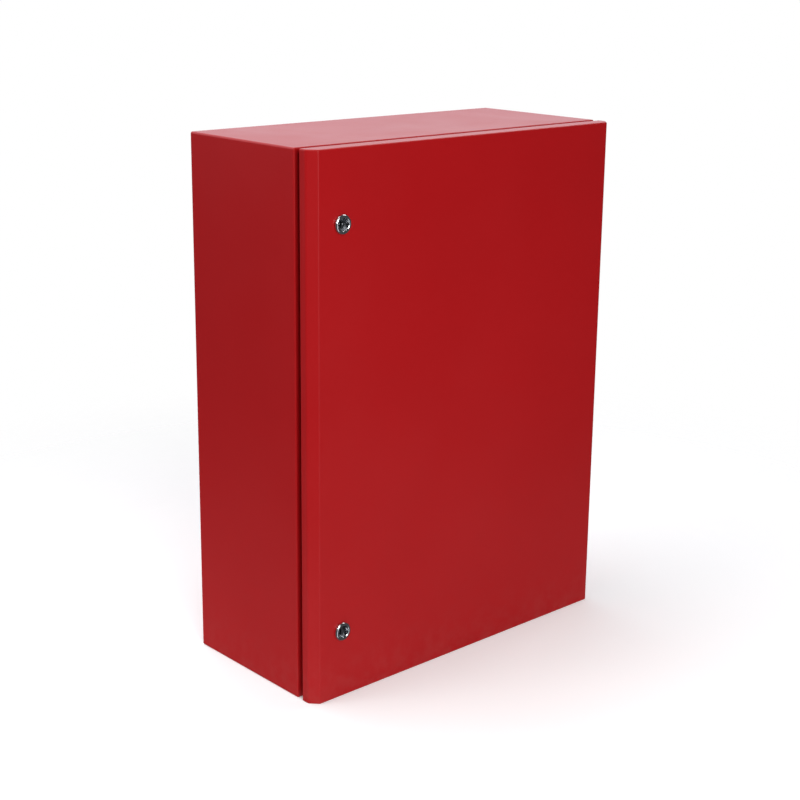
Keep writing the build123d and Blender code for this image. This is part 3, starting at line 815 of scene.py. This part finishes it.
# --------------------------------------------------------------------- locks
for label, zc in (("upper", LOCK_Z[0]), ("lower", LOCK_Z[1])):
    fr = frame_y(LX, -D, zc)            # local +Z is forward, 0 on the door's face
    head = [(9.95, 4.20), (10.5, 4.29), (11.1, 4.29), (11.75, 4.17), (12.4, 3.92), (13.0, 3.5), (13.45, 2.95), (13.8, 2.25), (13.97, 1.5),
            (14.0, 1.1), (13.85, 0.85), (13.4, 0.8), (11.0, 0.8), (10.98, -1.6)]
    pr = [(r, h) for r, h in head]
    i = 0
    h = -1.6
    while h > -20.5:                     # M22 thread rings, ending short of the barrel's end at -22
        pr += [(10.98, h - 0.25), (10.15, h - 0.75), (10.15, h - 0.95), (10.98, h - 1.45)]
        h -= 1.5
    pr += [(10.5, -22.0), (6.08, -22.0), (6.08, -11.0), (8.5, -11.0), (8.5, 2.5), (8.6, 3.05), (8.85, 3.5), (9.3, 3.92)]
    housing = lathe("housing", pr, fr, 72, True)
    piece(label + "_lock_housing_chrome", housing, label + "_lock_housing", sharp=34)
    seal = lathe("seal", [(11.1, 0.0), (13.1, 0.0), (13.3, 0.2), (13.3, 0.6), (13.1, 0.8), (11.1, 0.8)], fr, 56, True)
    piece(label + "_lock_seal_ring", seal, label + "_lock_seal")
    bk = frame_back(LX, -273.5, zc)
    nut = hexnut("nut", 27.0, 0.0, 5.0, 10.9, bk @ Matrix.Rotation(0.26, 4, "Z"), both=True, per=10)
    piece(label + "_lock_nut_steel", nut, label + "_lock_nut")
    # insert: dished disc, key pin with two bits
    disc = lathe("disc", [(0, 6.55), (4.6, 6.55), (5.2, 6.5), (7.6, 6.5), (8.2, 6.35), (8.4, 6.0), (8.4, 10.9), (8.2, 10.9), (0, 10.9)],
                 frame_y(LX, -275.0, zc) @ Matrix.Scale(-1, 4, (0, 0, 1)), 56)
    pinm = lathe("pin", [(0, 2.2), (1.9, 2.2), (2.45, 1.9), (2.7, 1.4), (2.7, -8.0), (0, -8.0)], fr, 32)
    bits = extruded("bits", [rrect(1.5, 5.2, 0.5)], 8.4, 0.3, fr @ Matrix.Translation((0, 0, -3.8)))
    jour = lathe("jour", [(0, -10.8), (5.98, -10.8), (5.98, -22.2), (5.6, -22.4), (0, -22.4)], fr, 40)
    sq = extruded("sq", [rrect(4.0, 4.0, 0.5)], 3.2, 0.2, fr @ Matrix.Translation((0, 0, -23.6)))
    ins = boolean(disc, [pinm, bits, jour, sq], "UNION")
    piece(label + "_lock_insert_dark", ins, label + "_lock_insert")
    # cranked cam, bent from 3 mm strip: side section swept across its width
    k = 5
    pth = [(11.0, -23.9), (-14.6, -23.9), (-24.2, -40.5), (-45.0, -40.5)]     # mid line: (along, height)
    mid = [pth[0]] + bend(pth[0], pth[1], pth[2], 3.2, k) + bend(pth[1], pth[2], pth[3], 3.2, k) + [(-40.0, -40.5), (-45.0, -41.3)]
    mid = [(p[0], p[1]) for p in mid]
    loopa, loopb = [], []
    for i, p in enumerate(mid):
        q0, q1 = mid[max(0, i - 1)], mid[min(len(mid) - 1, i + 1)]
        tx, ty = q1[0] - q0[0], q1[1] - q0[1]
        ln = math.hypot(tx, ty)
        nx_, ny_ = -ty / ln, tx / ln
        loopa.append((p[0] + nx_ * 1.47, p[1] + ny_ * 1.47))
        loopb.append((p[0] - nx_ * 1.47, p[1] - ny_ * 1.47))
    side = loopa + loopb[::-1]
    rings = [[(LX + x, -275.0 - p[1], zc + p[0]) for p in side] for x in (-11.0, 11.0)]
    v, f = sweep_rings(rings, False, True)
    strip = mesh_from("strip", v, f)
    outline = [(-9.0, -41.0)] + [(-5.0 + 4.0 * math.cos(math.radians(t)), -41.0 + 4.0 * math.sin(math.radians(t))) for t in range(195, 271, 15)]
    outline += [(5.0 + 4.0 * math.cos(math.radians(t)), -41.0 + 4.0 * math.sin(math.radians(t))) for t in range(270, 346, 15)] + [(9.0, -41.0)]
    outline += [(9.0, -6.0)] + [(10.85 * math.cos(math.radians(t)), 10.85 * math.sin(math.radians(t))) for t in range(-30, 211, 10)] + [(-9.0, -6.0)]
    mask = extruded("mask", [outline], 60.0, 0.0, frame_y(LX, -245.0, zc))
    cam_me = boolean(strip, [mask], "INTERSECT")
    cam_me = boolean(cam_me, [extruded("sqh", [rrect(4.03, 4.03, 0.4)], 12.0, 0.0, frame_y(LX, -251.0, zc))])
    cm = piece(label + "_lock_cam_steel", cam_me, label + "_lock_cam", weighted=False)
    bv = cm.modifiers.new("edge", "BEVEL")
    bv.width, bv.segments, bv.limit_method, bv.angle_limit = 0.00028, 2, "ANGLE", math.radians(40)
    bv.use_clamp_overlap = True
    wn = cm.modifiers.new("weighted normals", "WEIGHTED_NORMAL")
    wn.keep_sharp = True
    wash = lathe("w", [(2.75, 0.0), (7.3, 0.0), (7.5, 0.2), (7.5, 1.0), (7.3, 1.2), (2.9, 1.2), (2.75, 1.05)], frame_back(LX, -249.6, zc), 40, True)
    piece(label + "_cam_washer_steel", wash, label + "_cam_washer")
    fb = frame_back(LX, -248.4, zc)
    hd = lathe("h", [(0, 0), (4.6, 0), (4.8, 0.2), (4.8, 2.6), (4.6, 3.1), (4.1, 3.45), (0, 3.5)], fb, 40)
    sk = extruded("k", [circle(0, 0, 2.3, 6)], 4.2, 0.0, fb @ Matrix.Translation((0, 0, 3.5)))
    hd = boolean(hd, [sk])
    th = thread("t", 2.5, 0.8, 0.4, 0.0, 9.8, frame_y(LX, -248.5, zc), 20)
    piece(label + "_cam_screw_steel", join("sc", [hd, th]), label + "_cam_screw")

# -------------------------------------------------------------------- stage
FLOOR_GLOW = 0.20
ROOM, WALL, STRIP = 0.065, 1.20, 1.1


def floor_material():
    """Pale, matt studio floor that runs out softly into the white ground."""
    n = Nodes("pale_floor")
    cloud = n.noise(3.0, 3.0, 0.5)
    fine = n.noise(180.0, 3.0, 0.6)
    col = n.mix(n.ramp(cloud, 0.3, 0.7), (0.88, 0.88, 0.88), (0.90, 0.90, 0.90))
    r = n.ramp(fine, 0.3, 0.7, 0.75, 0.85)
    n.set(Metallic=0.0, Emission_Color=(1, 1, 1, 1), Emission_Strength=FLOOR_GLOW)
    n.out(col, r, n.bump(fine, 0.05, 0.0002))
    ln = n.new("ShaderNodeVectorMath", operation="LENGTH")
    n.link(n.co, ln.inputs[0])
    clear = n.new("ShaderNodeBsdfTransparent")
    mixer = n.new("ShaderNodeMixShader")
    n.link(n.ramp(ln.outputs["Value"], 0.50, 1.50, 0.0, 1.0, True), mixer.inputs[0])
    n.link(n.b.outputs[0], mixer.inputs[1])
    n.link(clear.outputs[0], mixer.inputs[2])
    out = next(x for x in n.t.nodes if x.type == "OUTPUT_MATERIAL")
    n.link(mixer.outputs[0], out.inputs["Surface"])
    n.mat.cycles.emission_sampling = "NONE"
    return n.mat


FLOOR_Z = -HZ - 0.05
me = bpy.data.meshes.new("floor")
bm = bmesh.new()
bmesh.ops.create_circle(bm, cap_ends=True, segments=96, radius=3.2)
bm.to_mesh(me)
bm.free()
me.materials.append(floor_material())
floor = bpy.data.objects.new("floor", me)
floor.location = (0, -0.12, FLOOR_Z * MM)
bpy.context.scene.collection.objects.link(floor)
floor.visible_glossy = False
floor.visible_shadow = False


def area(name, loc, target, size, power, color=(1, 1, 1), shape="RECTANGLE", camera=False):
    d = bpy.data.lights.new(name, "AREA")
    d.shape = shape
    d.size, d.size_y = size if isinstance(size, tuple) else (size, size)
    d.energy = power
    d.color = color
    o = bpy.data.objects.new(name, d)
    o.location = loc
    o.rotation_mode = "QUATERNION"
    o.rotation_quaternion = (Vector(target) - Vector(loc)).to_track_quat("-Z", "Y")
    bpy.context.scene.collection.objects.link(o)
    o.visible_camera = camera
    return o


area("key_top", (-0.5, 0.45, 2.6), (0, -0.15, 0.0), (2.2, 1.6), 36)
area("rim_top", (2.0, -0.40, 2.5), (0, -0.25, 0.4), (1.3, 1.3), 19)
area("key_front", (-1.05, -2.35, 1.15), (-0.1, -0.1, 0.0), (1.3, 1.3), 49)
area("fill_left", (-2.9, 0.6, 1.6), (0, -0.1, 0.1), (1.6, 1.6), 21)

# world: white to the camera, and a dark room with a bright wall behind to everything else
world = bpy.data.worlds.new("studio")
bpy.context.scene.world = world
world.use_nodes = True
wt = world.node_tree


def wnode(kind, **props):
    x = wt.nodes.new(kind)
    for k, v in props.items():
        setattr(x, k, v)
    return x


def wramp(src, lo_, hi_, o0, o1):
    x = wnode("ShaderNodeMapRange", interpolation_type="SMOOTHSTEP")
    for k, v in (("From Min", lo_), ("From Max", hi_), ("To Min", o0), ("To Max", o1)):
        x.inputs[k].default_value = v
    wt.links.new(src, x.inputs["Value"])
    return x.outputs["Result"]


def wmath(op, x0, x1):
    x = wnode("ShaderNodeMath", operation=op)
    for i, v in enumerate((x0, x1)):
        if isinstance(v, (int, float)):
            x.inputs[i].default_value = v
        else:
            wt.links.new(v, x.inputs[i])
    return x.outputs[0]


direction = wnode("ShaderNodeTexCoord").outputs["Generated"]
sep = wnode("ShaderNodeSeparateXYZ")
wt.links.new(direction, sep.inputs[0])
dx, dy, dz = sep.outputs[0], sep.outputs[1], sep.outputs[2]
wall = wmath("MULTIPLY", wramp(dy, 0.10, 0.68, 0.0, WALL), wramp(dz, -0.03, 0.13, 0.0, 1.0))
wall = wmath("MULTIPLY", wall, wramp(dz, 0.55, 0.90, 1.0, 0.15))
strip = wmath("MULTIPLY", wramp(dx, -0.20, -0.06, 0.0, STRIP), wramp(dx, 0.10, 0.24, 1.0, 0.0))
strip = wmath("MULTIPLY", wmath("MULTIPLY", strip, wramp(dy, -0.6, -0.8, 0.0, 1.0)), wramp(dz, 0.25, 0.45, 1.0, 0.0))
level = wmath("ADD", wmath("ADD", wall, strip), ROOM)
bg = next(x for x in wt.nodes if x.type == "BACKGROUND")
bg.inputs["Color"].default_value = (0.985, 1.0, 1.08, 1)
wt.links.new(level, bg.inputs["Strength"])
bg2 = wnode("ShaderNodeBackground")
bg2.inputs["Color"].default_value = (1, 1, 1, 1)
bg2.inputs["Strength"].default_value = 1.0
lp = wnode("ShaderNodeLightPath")
mx = wnode("ShaderNodeMixShader")
wt.links.new(lp.outputs["Is Camera Ray"], mx.inputs[0])
wt.links.new(bg.outputs[0], mx.inputs[1])
wt.links.new(bg2.outputs[0], mx.inputs[2])
wt.links.new(mx.outputs[0], next(x for x in wt.nodes if x.type == "OUTPUT_WORLD").inputs["Surface"])
bpy.context.scene.view_settings.view_transform = "Standard"
